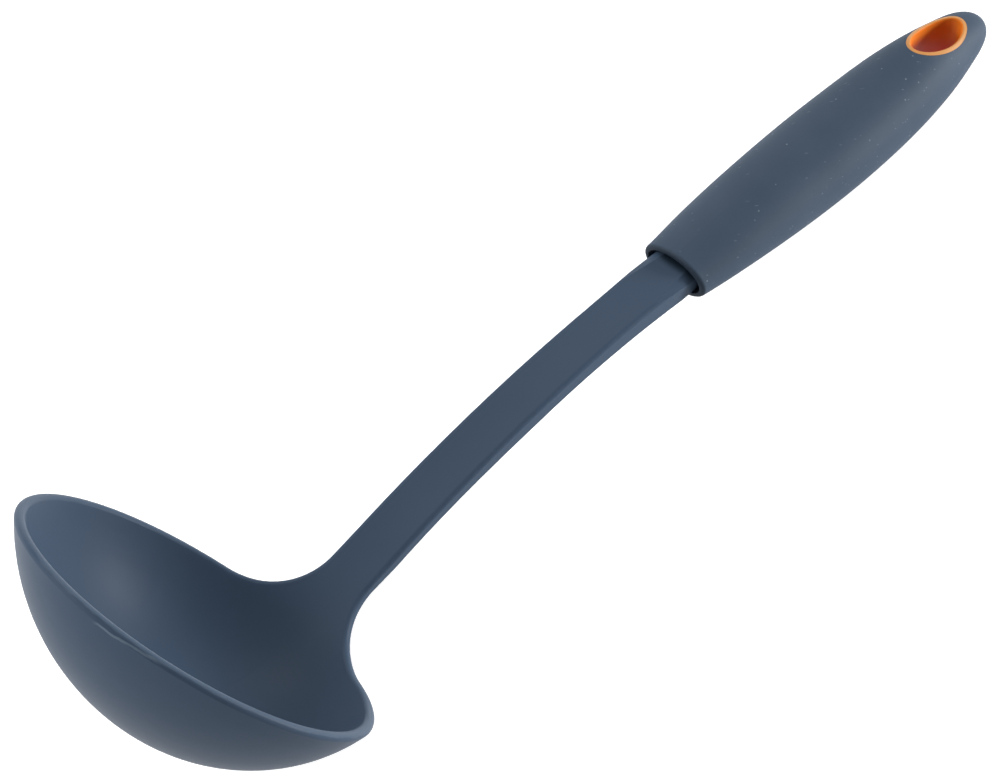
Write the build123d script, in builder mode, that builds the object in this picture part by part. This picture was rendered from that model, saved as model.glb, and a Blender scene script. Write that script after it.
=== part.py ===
from build123d import *
from math import asin, atan2, cos, degrees, hypot, radians, sin, sqrt, tan
import os

os.makedirs("parts", exist_ok=True)

# Bowl. Its bottom is set back towards the stem, so its front wall is the more open one
rim_diameter = 91.6
bowl_depth = 30.3
bowl_setback = 4.5
bowl_wall = 2.5

# Neck and stem. A reach is how far a point lies behind the rear of the rim,
# and a height is how far it lies above the rim. The stem is narrowest at its waist.
neck_flare_radius = 16.0
neck_width = 13.3
waist_width = 12.4
waist_height_share = 0.8
stem_width = 13.6
knee_reach_share = 0.115
knee_height_share = 0.225
knee_angle = 70.5
knee_thickness = 4.0
arch_reach_share = 0.5
arch_height_share = 0.636
arch_angle = 60.5
arch_thickness = 5.2
stem_reach = 56.6
stem_height = 115.7
stem_angle = 52.0
stem_thickness = 6.6
edge_round = 1.0
root_run_share = 0.2
root_oval_width = 15.4
root_oval_thickness = 7.8
root_spread_share = 0.07

# Handle
handle_angle = 54.0
handle_length = 124.5
handle_width = 26.5
handle_depth = 22.4
mouth_depth = 6.0
mouth_wall = 1.55
mouth_round = 1.1
mouth_inner_round = 0.3
soft_wall = 3.0

# Hanging hole
hole_length = 19.1
hole_width = 9.6
hole_setback = 19.75
lining_wall = 1.3
lining_round = 0.4

# Tang
tang_length = 48.0
tang_width = 9.0
tang_thickness = 4.4

seat_clearance = 0.1
bond_clearance = 0.05
overrun = 10.0

# Handle sections: how far along, half width, half depth and set-back of the middle
place_shares = (0.0, 0.08, 0.2, 0.34, 0.48, 0.6, 0.7, 0.78, 0.845, 0.9, 0.945, 0.975, 0.992, 1.0)
width_shares = (0.758, 0.835, 0.9215, 0.983, 1.001, 0.969, 0.909, 0.819, 0.715, 0.604, 0.5, 0.38, 0.25, 0.108)
depth_shares = (0.554, 0.656, 0.804, 0.92, 0.982, 1.009, 1.0, 0.957, 0.875, 0.741, 0.58, 0.421, 0.265, 0.116)
sag_shares = (-0.019, 0.01, 0.039, 0.087, 0.116, 0.121, 0.098, 0.084, 0.076, 0.052, 0.03, 0.03, 0.03, 0.03)
core_end_share = 0.845
belly_place_share = 0.61
belly_depth_share = 1.1394

rim_radius = rim_diameter / 2
ball_radius = (rim_radius**2 + bowl_depth**2) / (2 * bowl_depth)
ball_rise = ball_radius - bowl_depth
hollow_radius = ball_radius - bowl_wall
inner_rim_radius = sqrt(hollow_radius**2 - ball_rise**2)
lean = bowl_setback / bowl_depth
neck_sector = 1.15 * degrees(asin((neck_width / 2 + neck_flare_radius) / inner_rim_radius))
waist_height = waist_height_share * stem_height
root_run = root_run_share * stem_height
taper = atan2((neck_width - waist_width) / 2, waist_height - neck_flare_radius)


def heading(angle):
    """Unit direction that rises at an angle above the rim plane."""
    return (cos(radians(angle)), sin(radians(angle)))


def behind(point, angle, distance):
    """The point behind a face that rises at this angle."""
    along = heading(angle)
    return (point[0] + distance * along[1], point[1] - distance * along[0])


def ahead(point, angle, distance):
    """The point further along a line that rises at this angle."""
    along = heading(angle)
    return (point[0] + distance * along[0], point[1] + distance * along[1])


def upright(point):
    """A side view point or direction as it is before the bowl is leaned."""
    return (point[0] + lean * point[1], point[1])


def ball_reach(angle):
    """How far the leaned ball of the bowl reaches from the middle of the rim, at an angle."""
    out = heading(angle)
    drop = out[1] - lean * out[0]
    return ball_rise * drop + ball_radius * hypot(out[0], drop)


# Side view points: faces of the neck and stem, the handle's mouth, tip and belly
knee = (rim_radius + knee_reach_share * stem_reach, knee_height_share * stem_height)
knee_back = behind(knee, knee_angle, knee_thickness)
arch = (rim_radius + arch_reach_share * stem_reach, arch_height_share * stem_height)
arch_back = behind(arch, arch_angle, arch_thickness)
stem_top = (rim_radius + stem_reach, stem_height)
stem_end = ahead(stem_top, stem_angle, 2 * mouth_depth)
stem_top_back = behind(stem_top, stem_angle, stem_thickness)
stem_end_back = behind(stem_end, stem_angle, stem_thickness)
mouth = behind(stem_top, handle_angle, stem_thickness / 2)
tip = ahead(mouth, handle_angle, handle_length)
belly_drop = belly_depth_share * handle_depth / 2
belly = behind(
    ahead(mouth, handle_angle, belly_place_share * handle_length), handle_angle, belly_drop
)

# The ladle lies on a table, on the ball of its bowl and the belly of its handle.
# The table line touches the ball, so it is found before the lean and leaned with it.
# The origin is on the table, under the middle of the ladle's length.
belly_from_ball = (upright(belly)[0], upright(belly)[1] - ball_rise)
touch = atan2(belly_from_ball[1], belly_from_ball[0]) + asin(ball_radius / hypot(*belly_from_ball))
tilt = atan2(sin(touch), cos(touch) - lean * sin(touch))
tip_reach = tip[0] * cos(tilt) + tip[1] * sin(tilt)
rim = Plane(
    origin=((ball_reach(degrees(tilt) + 180) - tip_reach) / 2, 0, ball_reach(degrees(tilt) - 90)),
    x_dir=(cos(tilt), 0, -sin(tilt)),
    z_dir=(sin(tilt), 0, cos(tilt)),
)
bowl_axis = Axis(rim.origin, rim.z_dir)


def slice_plane(turn):
    """A plane through the bowl's axis: local x runs out from it, local y up."""
    out = rim.x_dir * cos(radians(turn)) + rim.y_dir * sin(radians(turn))
    return Plane(origin=rim.origin, x_dir=out, z_dir=out.cross(rim.z_dir))


side = slice_plane(0)
front = Plane(origin=rim.origin, x_dir=rim.y_dir, z_dir=rim.x_dir)


def place(point):
    """A side view point in space."""
    return side.from_local_coords(Vector(point[0], point[1], 0))


handle_run = (place(tip) - place(mouth)).normalized()


def across(distance, sag=0):
    """A plane across the handle's axis, this far from the mouth, local x across."""
    middle = behind(ahead(mouth, handle_angle, distance), handle_angle, sag)
    return Plane(origin=place(middle), x_dir=rim.y_dir, z_dir=handle_run)


def handle_sections(end_share, inset):
    """The ovals of the handle up to a share of its length, drawn smaller by an inset all round."""
    ovals = []
    for index, place_share in enumerate(place_shares):
        if place_share > end_share:
            break
        sag = sag_shares[index] * handle_depth / 2
        with BuildSketch(across(place_share * handle_length, sag)) as section:
            Ellipse(
                handle_width / 2 * width_shares[index] - inset,
                handle_depth / 2 * depth_shares[index] - inset,
            )
        ovals.append(section.sketch)
    return ovals


# Looking at the handle's front: local x across, local y towards the tip
hole_middle = ahead(mouth, handle_angle, handle_length - hole_setback)
hole_plane = Plane(origin=place(hole_middle), x_dir=-rim.y_dir, z_dir=across(0).y_dir)

# Round blank of the bowl, with a sector behind it that carries the rear wall on up
with BuildPart() as round_blank:
    with BuildSketch(side) as bowl_profile:
        with BuildLine():
            RadiusArc((0, -bowl_depth), (rim_radius, 0), -ball_radius)
            Line((rim_radius, 0), (inner_rim_radius, 0))
            RadiusArc((0, bowl_wall - bowl_depth), (inner_rim_radius, 0), -hollow_radius)
            Line((0, -bowl_depth), (0, bowl_wall - bowl_depth))
        make_face()
    revolve(axis=bowl_axis)
    with BuildSketch(slice_plane(-neck_sector)) as stem_profile:
        with BuildLine():
            Spline(
                (inner_rim_radius, 0),
                upright(knee),
                upright(arch),
                upright(stem_top),
                tangents=[
                    heading(degrees(atan2(inner_rim_radius, ball_rise))),
                    upright(heading(knee_angle)),
                    upright(heading(arch_angle)),
                    upright(heading(stem_angle)),
                ],
            )
            Polyline(
                upright(stem_top),
                upright(stem_end),
                upright(stem_end_back),
                upright(stem_top_back),
            )
            Spline(
                (rim_radius, 0),
                upright(knee_back),
                upright(arch_back),
                upright(stem_top_back),
                tangents=[
                    heading(degrees(atan2(rim_radius, ball_rise))),
                    upright(heading(knee_angle)),
                    upright(heading(arch_angle)),
                    upright(heading(stem_angle)),
                ],
            )
            Line((rim_radius, 0), (inner_rim_radius, 0))
        make_face()
    revolve(axis=bowl_axis, revolution_arc=2 * neck_sector)

# The lean slides each level of the blank back by its depth below the rim
slide = Matrix([[1, 0, -lean, 0], [0, 1, 0, 0], [0, 0, 1, 0], [0, 0, 0, 1]])
leaning = rim.reverse_transform.multiply(slide).multiply(rim.forward_transform)
leaned_blank = round_blank.part.transform_geometry(leaning)

# What is pared off the stem's corners, so that it runs into the handle as an oval
with BuildPart() as root_parings:
    with BuildSketch(across(-root_run)):
        Circle(handle_width)
    extrude(amount=root_run + 2 * mouth_depth)
    for distance in (-root_run, 2 * mouth_depth):
        with BuildSketch(across(distance)):
            Ellipse(
                root_oval_width / 2 - root_spread_share * distance,
                root_oval_thickness / 2 - root_spread_share * distance,
            )
    loft(mode=Mode.SUBTRACT)

# Bowl, neck, stem and tang
with BuildPart() as ladle_head:
    add(leaned_blank)

    # Seen from the front, the blank is cut to the stem's outline: it flares into the rim,
    # narrows up to the waist and widens again to the handle
    flare_top = (neck_width / 2, neck_flare_radius * (1 - sin(taper)))
    flare_foot = (neck_width / 2 + neck_flare_radius * cos(taper), 0)
    waist = (flare_top[0] - (waist_height - flare_top[1]) * tan(taper), waist_height)
    blank_top = stem_end[1] + overrun
    blank_side = rim_diameter + stem_reach
    rise = blank_top - waist_height
    rise_to_mouth = stem_height - waist_height
    spread = stem_width / 2 - waist[0] + rise_to_mouth * tan(taper)
    root = (waist[0] - rise * tan(taper) + spread * (rise / rise_to_mouth) ** 2, blank_top)
    with BuildSketch(front) as outline:
        with BuildLine():
            RadiusArc(flare_top, flare_foot, -neck_flare_radius)
            Line(flare_top, waist)
            TangentArc(waist, root, tangent=(-sin(taper), cos(taper)))
            Polyline(
                flare_foot,
                (blank_side, 0),
                (blank_side, blank_top),
                root,
            )
        make_face()
        mirror(about=Plane.YZ)
    extrude(amount=stem_end[0] + overrun, mode=Mode.SUBTRACT)

    # The rim's two edges run on along the flares and up the stem
    level_edges = ladle_head.edges().filter_by_position(bowl_axis, -edge_round, edge_round)
    fillet(level_edges.sort_by(SortBy.LENGTH)[-2:], radius=edge_round)

    add(root_parings.part, mode=Mode.SUBTRACT)

    # The stem stops square inside the handle's mouth, and the tang runs on
    split(bisect_by=across(mouth_depth - seat_clearance), keep=Keep.BOTTOM)
    with BuildSketch(across(mouth_depth - seat_clearance)) as tang_section:
        Rectangle(tang_width, tang_thickness)
    extrude(amount=tang_length)
    tang_edges = ladle_head.faces().sort_by(Axis(place(mouth), handle_run))[-1].edges()
    chamfer(tang_edges, length=tang_thickness / 4)
ladle_head.part.label = "ladle_head"
export_step(ladle_head.part, "parts/ladle_head.step")

# Outer form of the whole handle
with BuildPart() as grip_form:
    add(handle_sections(place_shares[-1], 0))
    loft()

# Orange core: a spine inside the handle that ends in the lining of the hanging hole
with BuildPart() as handle_core:
    add(handle_sections(core_end_share, soft_wall))
    loft()
    split(bisect_by=across(mouth_depth + soft_wall), keep=Keep.TOP)
    with BuildSketch(hole_plane) as lining_oval:
        Ellipse(hole_width / 2 + lining_wall, hole_length / 2 + lining_wall)
    extrude(amount=handle_depth, both=True)
    add(grip_form.part, mode=Mode.INTERSECT)
    with BuildSketch(hole_plane) as hole_oval:
        Ellipse(hole_width / 2, hole_length / 2)
    extrude(amount=handle_depth, both=True, mode=Mode.SUBTRACT)
    by_depth = handle_core.edges().sort_by(Axis(hole_plane.origin, hole_plane.z_dir))
    fillet(by_depth[:2] + by_depth[-2:], radius=lining_round)
    with BuildSketch(across(mouth_depth)) as socket_section:
        Rectangle(tang_width + 2 * seat_clearance, tang_thickness + 2 * seat_clearance)
    extrude(amount=tang_length + seat_clearance, mode=Mode.SUBTRACT)
handle_core.part.label = "handle_core"
export_step(handle_core.part, "parts/handle_core.step")

# What the core fills inside the sleeve
with BuildPart() as core_room:
    add(handle_sections(core_end_share, soft_wall - bond_clearance))
    loft()
    split(bisect_by=across(mouth_depth + soft_wall - bond_clearance), keep=Keep.TOP)
    with BuildSketch(hole_plane) as lining_room:
        Ellipse(
            hole_width / 2 + lining_wall + bond_clearance,
            hole_length / 2 + lining_wall + bond_clearance,
        )
    extrude(amount=handle_depth, both=True)

# Soft sleeve over the core, with a recessed mouth that the stem enters
with BuildPart() as soft_grip:
    add(grip_form.part)
    with BuildSketch(across(0, sag_shares[0] * handle_depth / 2)) as recess:
        Ellipse(
            handle_width / 2 * width_shares[0] - mouth_wall,
            handle_depth / 2 * depth_shares[0] - mouth_wall,
        )
    extrude(amount=mouth_depth, mode=Mode.SUBTRACT)
    lip = soft_grip.faces().sort_by(Axis(place(mouth), handle_run))[0]
    fillet(lip.outer_wire().edges(), radius=mouth_round)
    lip = soft_grip.faces().sort_by(Axis(place(mouth), handle_run))[0]
    fillet(lip.inner_wires()[0].edges(), radius=mouth_inner_round)
    with BuildSketch(across(0)) as tang_slot:
        Rectangle(tang_width + 2 * seat_clearance, tang_thickness + 2 * seat_clearance)
    extrude(amount=tang_length, mode=Mode.SUBTRACT)
    add(core_room.part, mode=Mode.SUBTRACT)
soft_grip.part.label = "soft_grip"
export_step(soft_grip.part, "parts/soft_grip.step")
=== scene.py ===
from math import cos, radians, sin

import bpy
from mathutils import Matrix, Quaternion, Vector

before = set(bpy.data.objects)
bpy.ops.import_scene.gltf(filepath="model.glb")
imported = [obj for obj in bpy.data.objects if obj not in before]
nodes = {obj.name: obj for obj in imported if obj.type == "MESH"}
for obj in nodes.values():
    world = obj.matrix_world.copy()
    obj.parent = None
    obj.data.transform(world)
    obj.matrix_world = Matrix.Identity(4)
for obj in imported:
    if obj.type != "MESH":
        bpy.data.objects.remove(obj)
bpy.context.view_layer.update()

# Camera: where it aims, how far off it stands and how it is turned
aim = Vector((-0.0309, 0.0, 0.0273))
stand_off = 0.5459
compass = radians(49.51)
drop = radians(53.44)
roll = radians(-6.19)
lens_mm = 83.03
sensor_mm = 36.0

# Floor: its side, its look, its glow near the ladle and far off, and where the one turns into the other
floor_size = 6.0
floor_grey = (0.5, 0.5, 0.5)
floor_roughness = 0.9
floor_glow = (1, 1, 1)
near_glow = 0.82
far_glow = 1.0
glow_reach = (0.4, 1.0)

# Sky: the rise over which it dims, and how bright it is below and above that
sky_white = (1, 1, 1)
horizon_rise = (0.15, 0.45)
sky_strengths = (1.0, 0.15)

# Lamps: the place that they point at, then where each one stands, its two sides and its power
lamp_aim = (0, 0, 0.02)
lamps = {
    "right": ((0.892, -0.625, 0.173), (0.35, 0.45), 20.5),
    "left": ((-0.613, 0.613, 0.697), (0.7, 0.45), 11.0),
    "back": ((0.299, 0.703, 0.811), (0.7, 0.45), 7.2),
}

# Noise, as its scale and its levels of detail, and its middle and the part of its range that counts
nylon_cloud = (22.0, 3.0)
nylon_grain = (1500.0, 2.0)
rubber_cloud = (45.0, 4.0)
rubber_grain = (1800.0, 2.0)
# The waver of the painted highlights on the bowl's rim
highlight_waver = (230.0, 3.0)
lint_patches = (26.0, 2.0)
noise_middle = 0.5
cloud_range = (0.3, 0.7)
patch_range = (0.42, 0.6)

# Moulded grain of the nylon and the rubber
grain_depth = 0.00002
grain_strength = 0.5

# Bowl's rim: its middle and its tilt on the table
rim_middle = (-0.122755, 0.0, 0.040224)
rim_tilt = radians(56.333)

# Painted highlight along the top of the rim: how far it wavers, its heights over the rim's plane and its
# soft edge, where it ends behind the rim's middle, at the neck, and how it weakens on the camera's far
# side
waver_height = 0.0011
top_highlight_heights = (-0.0003, 0.0006)
top_highlight_edge = 0.0004
neck_reach = 0.034
neck_fade = 0.006
far_side = (-0.03, 0.0)
far_side_least = 0.35

# Painted highlight low on the rim: its slant, its heights over the rim's plane and its soft edge, how far
# it lies to the camera's side of the rim's middle, and how far ahead of the middle it starts
low_highlight_slant = 0.098
low_highlight_heights = (-0.00290, -0.00265)
low_highlight_edge = 0.0003
low_highlight_run = (0.009, 0.020)
low_highlight_ends = 0.003
low_highlight_ahead = (0.03, 0.034)

# Handle's mouth: where it lies along the ladle, the painted shade on the stem in it and the painted shade
# on its lip
mouth_x = 0.0302
shade_along = (mouth_x - 0.0024, mouth_x + 0.0010)
shade_across = (-0.0050, 0.0030)
shade_edge = 0.0030
lip_shade_along = (mouth_x + 0.0012, mouth_x + 0.0002)

# Hanging hole: its middle, lean and half sizes, a unit that leaves depth out of account,
# and where its ring starts, in half sizes
hole_middle = (0.13483, 0.0, 0.01157)
hole_lean = radians(2.33)
hole_halves = (0.00955, 0.0048)
no_depth = 1e6
ring_edge = (1.01, 1.06)

# Wall of the hole: painted shading, deep red-brown lower down and amber higher up, over a range of heights
# in this unit, tipped along the ladle
wall_unit = 0.012
wall_tip = 0.42
wall_shade_range = (-0.1, 0.45)

# Pale marks on the grip: cells to a metre, stretch, radius in cells, share of the cells and turn
lint_specks = {"scale": 430.0, "stretch": (1, 1, 1), "size": 0.14, "share": 0.35, "turn": 0.0}
fluff_specks = {"scale": 190.0, "stretch": (1, 4.0, 4.0), "size": 0.17, "share": 0.5, "turn": radians(-38)}
lint_strength = 0.6
fluff_strength = 0.3
share_edge = 0.02

# Colours in linear red, green and blue, two of them where a material runs from one to the other
nylon_tones = ((0.0350, 0.0545, 0.0860), (0.0395, 0.0605, 0.0940))
# Painted highlights on the bowl's rim, the top one and the low one
top_highlight_tone = (0.0520, 0.0750, 0.1090)
low_line_tone = (0.0780, 0.1060, 0.1430)
# Painted shade on the stem in the handle's mouth
shade_tone = (0.0080, 0.0140, 0.0220)
rubber_tones = ((0.0328, 0.0502, 0.0761), (0.0391, 0.0578, 0.0861))
# Painted shade on the handle's lip
lip_shade_tone = (0.0150, 0.0240, 0.0370)
mark_tone = (0.1500, 0.1800, 0.2150)
# Painted shading on the hole's wall, from deep red-brown low down to amber higher up
wall_shade_tones = ((0.46, 0.055, 0.020), (0.56, 0.150, 0.014))
ring_tone = (0.430, 0.200, 0.066)

# Gloss of each material
nylon_roughness = (0.42, 0.48)
nylon_specular = 0.05
rubber_roughness = 0.62
rubber_specular = 0.12
orange_roughness = 0.42
orange_specular = 0.12


def put_camera():
    """The photograph's view of the ladle."""
    forward = Vector((cos(compass) * cos(drop), sin(compass) * cos(drop), -sin(drop)))
    data = bpy.data.cameras.new("camera")
    data.lens = lens_mm
    data.sensor_width = sensor_mm
    camera = bpy.data.objects.new("camera", data)
    bpy.context.scene.collection.objects.link(camera)
    camera.location = aim - stand_off * forward
    turn = forward.to_track_quat("-Z", "Y") @ Quaternion((0, 0, 1), roll)
    camera.rotation_mode = "QUATERNION"
    camera.rotation_quaternion = turn
    bpy.context.scene.camera = camera


def area_light(name, place, size, power):
    """A soft rectangular lamp that points at the ladle."""
    data = bpy.data.lights.new(name, "AREA")
    data.shape = "RECTANGLE"
    data.size, data.size_y = size
    data.energy = power
    lamp = bpy.data.objects.new(name, data)
    lamp.location = place
    lamp.rotation_mode = "QUATERNION"
    lamp.rotation_quaternion = (Vector(lamp_aim) - Vector(place)).to_track_quat("-Z", "Y")
    bpy.context.scene.collection.objects.link(lamp)


def put_floor():
    """A pale floor under the ladle that glows white far off."""
    half = floor_size / 2
    mesh = bpy.data.meshes.new("floor")
    corners = [(-half, -half, 0), (half, -half, 0), (half, half, 0), (-half, half, 0)]
    mesh.from_pydata(corners, [], [(0, 1, 2, 3)])
    floor = bpy.data.objects.new("floor", mesh)
    bpy.context.scene.collection.objects.link(floor)
    made = Surface("floor")
    made.fill(made.shader.inputs["Base Color"], floor_grey)
    made.fill(made.shader.inputs["Roughness"], floor_roughness)
    made.fill(made.shader.inputs["Emission Color"], floor_glow)
    far = made.between(made.measured(made.place, "LENGTH"), *glow_reach)
    glow = made.combined("ADD", near_glow, made.combined("MULTIPLY", far, far_glow - near_glow))
    made.fill(made.shader.inputs["Emission Strength"], glow)
    mesh.materials.append(made.material)


def put_sky():
    """A dim even light from above that is white at the horizon."""
    world = bpy.data.worlds.new("world")
    world.use_nodes = True
    tree = world.node_tree
    split = tree.nodes.new("ShaderNodeSeparateXYZ")
    tree.links.new(tree.nodes.new("ShaderNodeTexCoord").outputs["Generated"], split.inputs[0])
    fade = tree.nodes.new("ShaderNodeMapRange")
    fade.interpolation_type = "SMOOTHSTEP"
    fade.inputs["From Min"].default_value, fade.inputs["From Max"].default_value = horizon_rise
    fade.inputs["To Min"].default_value, fade.inputs["To Max"].default_value = sky_strengths
    tree.links.new(split.outputs["Z"], fade.inputs["Value"])
    tree.nodes["Background"].inputs["Color"].default_value = (*sky_white, 1)
    tree.links.new(fade.outputs["Result"], tree.nodes["Background"].inputs["Strength"])
    bpy.context.scene.world = world


class Surface:
    """A material built up from procedural nodes, in metres of its object's own space."""

    def __init__(self, name):
        self.material = bpy.data.materials.new(name)
        self.material.use_nodes = True
        self.tree = self.material.node_tree
        self.shader = self.tree.nodes["Principled BSDF"]
        self.place = self.tree.nodes.new("ShaderNodeTexCoord").outputs["Object"]

    def fill(self, socket, value):
        """Feed a socket from another node, or set it to a number or a colour."""
        if isinstance(value, bpy.types.NodeSocket):
            self.tree.links.new(value, socket)
        else:
            socket.default_value = (*value, 1) if isinstance(value, tuple) else value

    def noise(self, scale, detail):
        """Cloudy noise from about 0.3 to 0.7."""
        node = self.tree.nodes.new("ShaderNodeTexNoise")
        node.inputs["Scale"].default_value = scale
        node.inputs["Detail"].default_value = detail
        self.fill(node.inputs["Vector"], self.place)
        return node.outputs["Fac"]

    def framed(self, middle, turn, size):
        """The place, as seen from a middle and a turn, in units of a size."""
        node = self.tree.nodes.new("ShaderNodeMapping")
        node.vector_type = "TEXTURE"
        node.inputs["Location"].default_value = middle
        node.inputs["Rotation"].default_value = turn
        node.inputs["Scale"].default_value = size
        self.fill(node.inputs["Vector"], self.place)
        return node.outputs["Vector"]

    def measured(self, vector, operation, other=(0, 0, 0)):
        """One number from a vector, such as its length or its product with another vector."""
        node = self.tree.nodes.new("ShaderNodeVectorMath")
        node.operation = operation
        self.fill(node.inputs[0], vector)
        node.inputs[1].default_value = other
        return node.outputs["Value"]

    def between(self, value, low, high):
        """How far a value has come from low to high, eased, from 0 to 1."""
        node = self.tree.nodes.new("ShaderNodeMapRange")
        node.interpolation_type = "SMOOTHSTEP"
        node.inputs["From Min"].default_value = low
        node.inputs["From Max"].default_value = high
        self.fill(node.inputs["Value"], value)
        return node.outputs["Result"]

    def combined(self, operation, first, second):
        """Two numbers put together."""
        node = self.tree.nodes.new("ShaderNodeMath")
        node.operation = operation
        self.fill(node.inputs[0], first)
        self.fill(node.inputs[1], second)
        return node.outputs[0]

    def product(self, *values):
        """Two or more numbers multiplied together."""
        total = values[0]
        for value in values[1:]:
            total = self.combined("MULTIPLY", total, value)
        return total

    def band(self, value, low, high, soft):
        """1 where a value lies between two others, falling off to 0 beyond them."""
        above = self.between(value, low - soft, low)
        below = self.between(value, high + soft, high)
        return self.product(above, below)

    def specks(self, scale, stretch, size, share, turn):
        """Scattered specks in about this share of the cells, this many cells in radius."""
        node = self.tree.nodes.new("ShaderNodeTexVoronoi")
        node.inputs["Scale"].default_value = scale
        unit = [1 / times for times in stretch]
        self.fill(node.inputs["Vector"], self.framed((0, 0, 0), (0, 0, turn), unit))
        spot = self.between(node.outputs["Distance"], size, size / 2)
        chance = self.measured(node.outputs["Color"], "DOT_PRODUCT", (1, 0, 0))
        kept = self.between(chance, 1 - share, 1 + share_edge - share)
        return self.product(spot, kept)

    def cloudy(self, cloud, low, high):
        """A number or a colour that runs from low to high as a noise rises."""
        node = self.tree.nodes.new("ShaderNodeValToRGB")
        for element, position, value in zip(node.color_ramp.elements, cloud_range, (low, high)):
            element.position = position
            element.color = (*value, 1) if isinstance(value, tuple) else (value, value, value, 1)
        self.fill(node.inputs["Fac"], cloud)
        return node.outputs["Color"]

    def mix(self, amount, first, second):
        """Two colours mixed by an amount."""
        node = self.tree.nodes.new("ShaderNodeMix")
        node.data_type = "RGBA"
        self.fill(node.inputs[0], amount)
        self.fill(node.inputs[6], first)
        self.fill(node.inputs[7], second)
        return node.outputs[2]

    def grain(self, height):
        """Bump the surface by a height from 0 to 1."""
        node = self.tree.nodes.new("ShaderNodeBump")
        node.inputs["Distance"].default_value = grain_depth
        node.inputs["Strength"].default_value = grain_strength
        self.fill(node.inputs["Height"], height)
        self.fill(self.shader.inputs["Normal"], node.outputs["Normal"])

    def wear(self, piece, colour, roughness, specular):
        """Give the material its colour and gloss, and put it on a piece."""
        self.fill(self.shader.inputs["Base Color"], colour)
        self.fill(self.shader.inputs["Roughness"], roughness)
        self.fill(self.shader.inputs["Specular IOR Level"], specular)
        for slot in nodes[piece].material_slots:
            slot.material = self.material


def painted_rim_highlights(made):
    """Where the painted top highlight and the painted low highlight lie on the bowl's rim, from 0 to 1."""
    rim = made.framed(rim_middle, (0, rim_tilt, 0), (1, 1, 1))
    ahead = made.measured(rim, "DOT_PRODUCT", (-1, 0, 0))
    aside = made.measured(rim, "DOT_PRODUCT", (0, -1, 0))
    waver = made.product(made.combined("SUBTRACT", made.noise(*highlight_waver), noise_middle), waver_height)

    height = made.combined("ADD", made.measured(rim, "DOT_PRODUCT", (0, 0, 1)), waver)
    at_height = made.band(height, *top_highlight_heights, top_highlight_edge)
    clear_of_neck = made.between(ahead, -neck_reach, neck_fade - neck_reach)
    in_view = made.combined("MAXIMUM", made.between(aside, *far_side), far_side_least)
    painted_top_highlight = made.product(at_height, clear_of_neck, in_view)

    slanted = made.combined("ADD", made.measured(rim, "DOT_PRODUCT", (0, low_highlight_slant, 1)), waver)
    at_slant = made.band(slanted, *low_highlight_heights, low_highlight_edge)
    in_run = made.band(aside, *low_highlight_run, low_highlight_ends)
    painted_low_highlight = made.product(at_slant, in_run, made.between(ahead, *low_highlight_ahead))
    return painted_top_highlight, painted_low_highlight


def nylon():
    """Matt moulded nylon: dark blue-grey and faintly cloudy, with painted highlights along the bowl's rim
    and painted shade on the stem in the handle's mouth.
    """
    made = Surface("nylon")
    cloud = made.noise(*nylon_cloud)
    tone = made.cloudy(cloud, *nylon_tones)
    # Painted highlights along the rim's top and low edges
    painted_top_highlight, painted_low_highlight = painted_rim_highlights(made)
    tone = made.mix(painted_top_highlight, tone, top_highlight_tone)
    tone = made.mix(painted_low_highlight, tone, low_line_tone)
    along = made.measured(made.place, "DOT_PRODUCT", (1, 0, 0))
    across = made.measured(made.place, "DOT_PRODUCT", (0, 1, 0))
    # Painted shade on the stem just inside the handle's mouth
    in_mouth = made.between(along, *shade_along)
    shade = made.product(in_mouth, made.band(across, *shade_across, shade_edge))
    tone = made.mix(shade, tone, shade_tone)
    made.grain(made.noise(*nylon_grain))
    made.wear("ladle_head", tone, made.cloudy(cloud, *nylon_roughness), nylon_specular)


def soft_touch():
    """Soft-touch rubber: blue-grey and mottled, with painted shade at its lip, pale lint and light rubs.
    """
    made = Surface("soft_touch")
    tone = made.cloudy(made.noise(*rubber_cloud), *rubber_tones)
    along = made.measured(made.place, "DOT_PRODUCT", (1, 0, 0))
    # Painted shade on the handle's lip
    tone = made.mix(made.between(along, *lip_shade_along), tone, lip_shade_tone)
    patchy = made.between(made.noise(*lint_patches), *patch_range)
    lint = made.product(made.specks(**lint_specks), patchy, lint_strength)
    fluff = made.product(made.specks(**fluff_specks), patchy, fluff_strength)
    tone = made.mix(made.combined("MAXIMUM", lint, fluff), tone, mark_tone)
    made.grain(made.noise(*rubber_grain))
    made.wear("soft_grip", tone, rubber_roughness, rubber_specular)


def orange_plastic():
    """Satin orange plastic: pale on the hole's ring, with painted shading from amber to a deep red-brown
    down its wall.
    """
    made = Surface("orange_plastic")
    turn = (0, hole_lean, 0)
    oval = made.framed(hole_middle, turn, (*hole_halves, no_depth))
    on_ring = made.between(made.measured(oval, "LENGTH"), *ring_edge)
    # Painted shading down the hole's wall, darker lower down
    level = made.framed(hole_middle, turn, (wall_unit, wall_unit, wall_unit))
    height = made.measured(level, "DOT_PRODUCT", (wall_tip, 0, 1))
    wall_shading = made.mix(made.between(height, *wall_shade_range), *wall_shade_tones)
    made.wear("handle_core", made.mix(on_ring, wall_shading, ring_tone), orange_roughness, orange_specular)


put_camera()
put_floor()
put_sky()
bpy.context.scene.view_settings.view_transform = "Standard"
for name, (place, size, power) in lamps.items():
    area_light(name, place, size, power)
nylon()
soft_touch()
orange_plastic()
